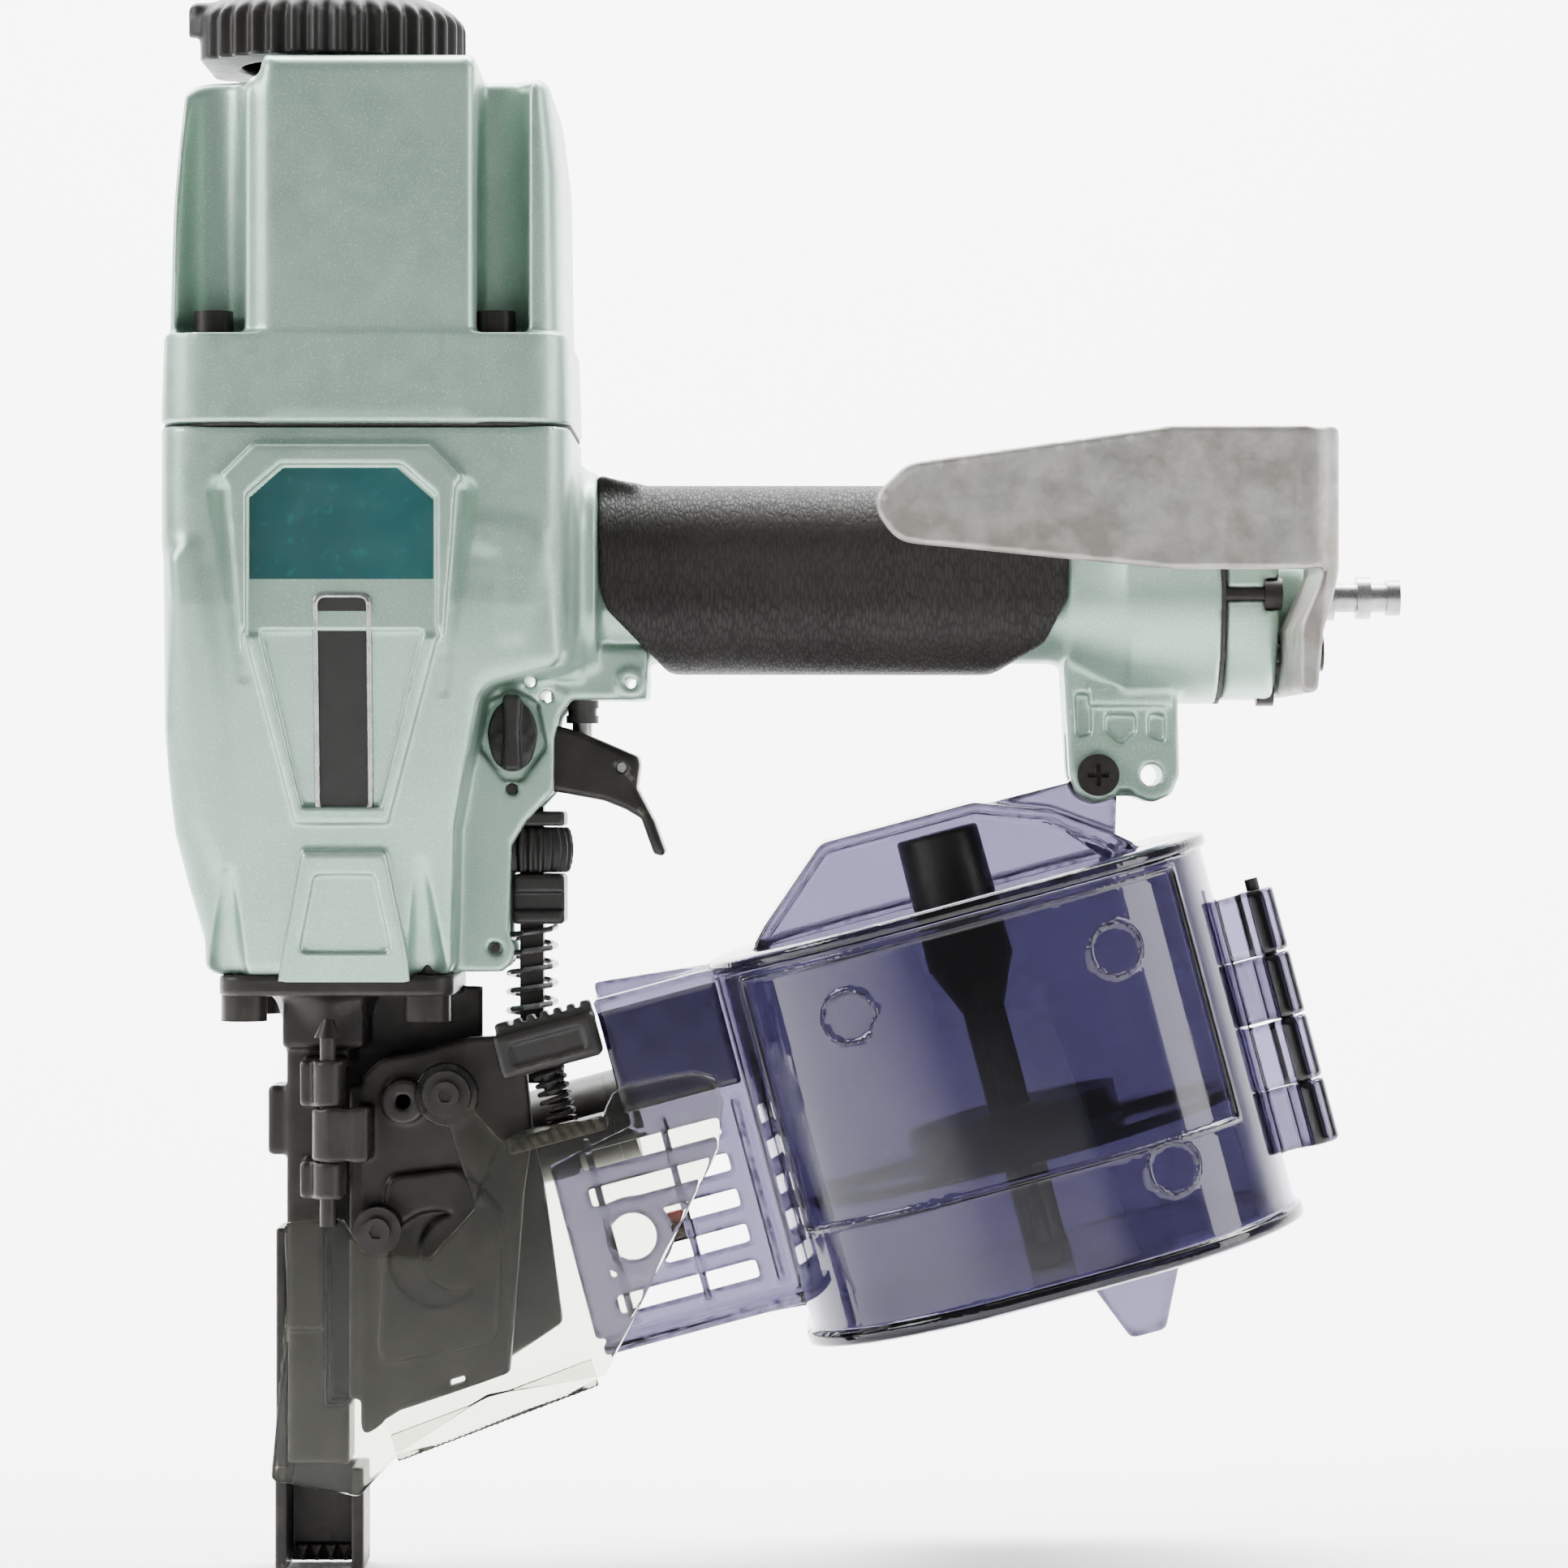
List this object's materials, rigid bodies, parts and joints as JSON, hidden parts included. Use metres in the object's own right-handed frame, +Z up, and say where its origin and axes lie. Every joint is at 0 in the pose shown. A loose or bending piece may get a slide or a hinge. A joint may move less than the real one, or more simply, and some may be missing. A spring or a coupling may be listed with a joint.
{
  "type": "coil nailer",
  "caption": "Pneumatic coil nailer with a tilted tinted canister magazine, a rubber grip, a rafter hook, a sprung contact tip and a turning exhaust deflector.",
  "frame": {"origin": "driver axis at the muzzle, the lower end of the closed driver bore", "axes": "+Z up the driver axis towards the exhaust deflector, +X towards the end of the handle, -Y the side where the nose door and magazine cover open"},
  "size_m": [0.272, 0.1226, 0.3472],
  "materials": {
    "sage_paint": "metallic satin lacquer on die-cast aluminium",
    "black_plastic": "ribbed moulded nylon",
    "gasket": "fibre gasket",
    "black_steel": "black oxide on steel",
    "plated_steel": "plated",
    "aluminium": "tumbled cast aluminium",
    "machined_aluminium": "turned",
    "rubber": "leather-grain moulded rubber",
    "urethane": "urethane",
    "teal_label": "printed film, blank",
    "badge": "domed badge, blank",
    "brass": "turned",
    "filter": "fine mesh",
    "tinted_clear": "tinted clear polycarbonate",
    "clear": "clear polycarbonate"
  },
  "bodies": {
    "tool": {"head_housing": "sage_paint", "head_gasket": "gasket", "deflector_screw": "plated_steel", "deflector_washer": "plated_steel", "head_bolts": "black_steel", "head_valve_spring": "plated_steel", "cylinder_sleeve": "machined_aluminium", "cylinder_seals": "urethane", "bumper": "urethane", "main_housing": "sage_paint", "label_plate": "teal_label", "badge_plate": "badge", "grip_sleeve": "rubber", "end_gasket": "gasket", "end_cap": "sage_paint", "end_cap_screws": "black_steel", "air_filter": "filter", "air_plug": "plated_steel", "rafter_hook": "aluminium", "hook_bolts": "black_steel", "valve_body": "brass", "valve_boot": "rubber", "lever_guides": "black_plastic", "guide_pins": "plated_steel", "push_lever_spring": "plated_steel", "nose_body": "black_steel", "nose_bolts": "black_steel", "door_hinge_pin": "black_steel", "feed_cylinder": "black_steel", "feed_cap": "black_steel", "feed_spring": "plated_steel", "magazine_base": "tinted_clear", "magazine_post": "black_plastic", "cover_hinge_pin": "black_steel", "bracket_screw": "black_steel", "bracket_nut": "plated_steel"},
    "deflector": {"exhaust_deflector": "black_plastic"},
    "head_valve_unit": {"head_valve": "black_plastic", "head_valve_seal": "urethane"},
    "piston_unit": {"piston": "machined_aluminium", "piston_ring": "urethane", "driver_blade": "plated_steel"},
    "trigger_unit": {"trigger": "black_steel", "lever_pin": "plated_steel"},
    "contact_lever_unit": {"contact_lever": "plated_steel"},
    "plunger": {"valve_plunger": "plated_steel"},
    "selector": {"mode_selector": "black_plastic"},
    "push_lever_unit": {"push_lever": "black_steel", "contact_tip": "black_steel"},
    "adjuster": {"depth_adjuster": "black_plastic"},
    "door": {"nose_door": "black_steel", "nose_shield": "clear", "shield_screws": "black_steel", "latch_spring": "plated_steel"},
    "latch": {"door_latch": "black_plastic"},
    "feeder": {"feed_piston": "plated_steel", "pawl_pin": "plated_steel"},
    "pawl": {"feed_pawl": "plated_steel"},
    "tray": {"nail_tray": "tinted_clear"},
    "cover": {"magazine_cover": "tinted_clear"}
  },
  "joints": [
    {"name": "deflector_turn", "type": "hinge", "parent": "tool", "child": "deflector", "pos_m": [0, 0, 0.312], "axis": [0, 0, 1], "continuous": true},
    {"name": "head_valve_lift", "type": "slide", "parent": "tool", "child": "head_valve_unit", "axis": [0, 0, 1], "range_m": [0, 0.005], "stiffness_N_per_m": 1500, "springref_m": -0.004, "deforming": ["head_valve_spring"]},
    {"name": "piston_stroke", "type": "slide", "parent": "tool", "child": "piston_unit", "axis": [0, 0, -1], "range_m": [0, 0.09]},
    {"name": "trigger_pull", "type": "hinge", "parent": "tool", "child": "trigger_unit", "pos_m": [0.0418, 0, 0.161], "axis": [0, -1, 0], "range_deg": [0, 10], "stiffness_Nm_per_rad": 0.5, "springref_deg": -17.19},
    {"name": "contact_lever_tilt", "type": "hinge", "parent": "trigger_unit", "child": "contact_lever_unit", "pos_m": [0.0655, 0, 0.1537], "axis": [0, 1, 0], "range_deg": [0, 6.1]},
    {"name": "plunger_lift", "type": "slide", "parent": "tool", "child": "plunger", "axis": [0, 0, 1], "range_m": [0, 0.0026]},
    {"name": "selector_turn", "type": "hinge", "parent": "tool", "child": "selector", "pos_m": [0.0418, 0, 0.161], "axis": [0, 1, 0], "range_deg": [0, 180]},
    {"name": "push_lever_slide", "type": "slide", "parent": "tool", "child": "push_lever_unit", "axis": [0, 0, 1], "range_m": [0, 0.011], "stiffness_N_per_m": 250, "springref_m": -0.012, "deforming": ["push_lever_spring"]},
    {"name": "adjuster_turn", "type": "hinge", "parent": "tool", "child": "adjuster", "pos_m": [0.0454, 0, 0.1355], "axis": [0, 0, 1], "continuous": true},
    {"name": "door_swing", "type": "hinge", "parent": "tool", "child": "door", "pos_m": [0.0022, -0.0245, 0.074], "axis": [0, 0, -1], "range_deg": [0, 110]},
    {"name": "latch_press", "type": "slide", "parent": "door", "child": "latch", "axis": [0.2588, 0, -0.9659], "range_m": [0, 0.005], "stiffness_N_per_m": 400, "springref_m": -0.004, "deforming": ["latch_spring"]},
    {"name": "feed_stroke", "type": "slide", "parent": "tool", "child": "feeder", "axis": [0.9659, 0, 0.2588], "range_m": [0, 0.012], "stiffness_N_per_m": 300, "springref_m": -0.01, "deforming": ["feed_spring"]},
    {"name": "pawl_swing", "type": "hinge", "parent": "feeder", "child": "pawl", "pos_m": [0.014, 0.0145, 0.06173], "axis": [0.2588, 0, -0.9659], "range_deg": [0, 25], "stiffness_Nm_per_rad": 0.02, "springref_deg": -17.19},
    {"name": "tray_slide", "type": "slide", "parent": "tool", "child": "tray", "axis": [-0.2588, 0, 0.9659], "range_m": [-0.015, 0.02]},
    {"name": "cover_swing", "type": "hinge", "parent": "tool", "child": "cover", "pos_m": [0.21152, -0.007, 0.10119], "axis": [-0.2588, 0, 0.9659], "range_deg": [0, 110]}
  ],
  "couplings": [
    {"joint": "contact_lever_tilt", "follows": "push_lever_slide", "rad_per_m": 9.5},
    {"joint": "plunger_lift", "follows": "trigger_pull", "m_per_rad": 0.0147}
  ]
}
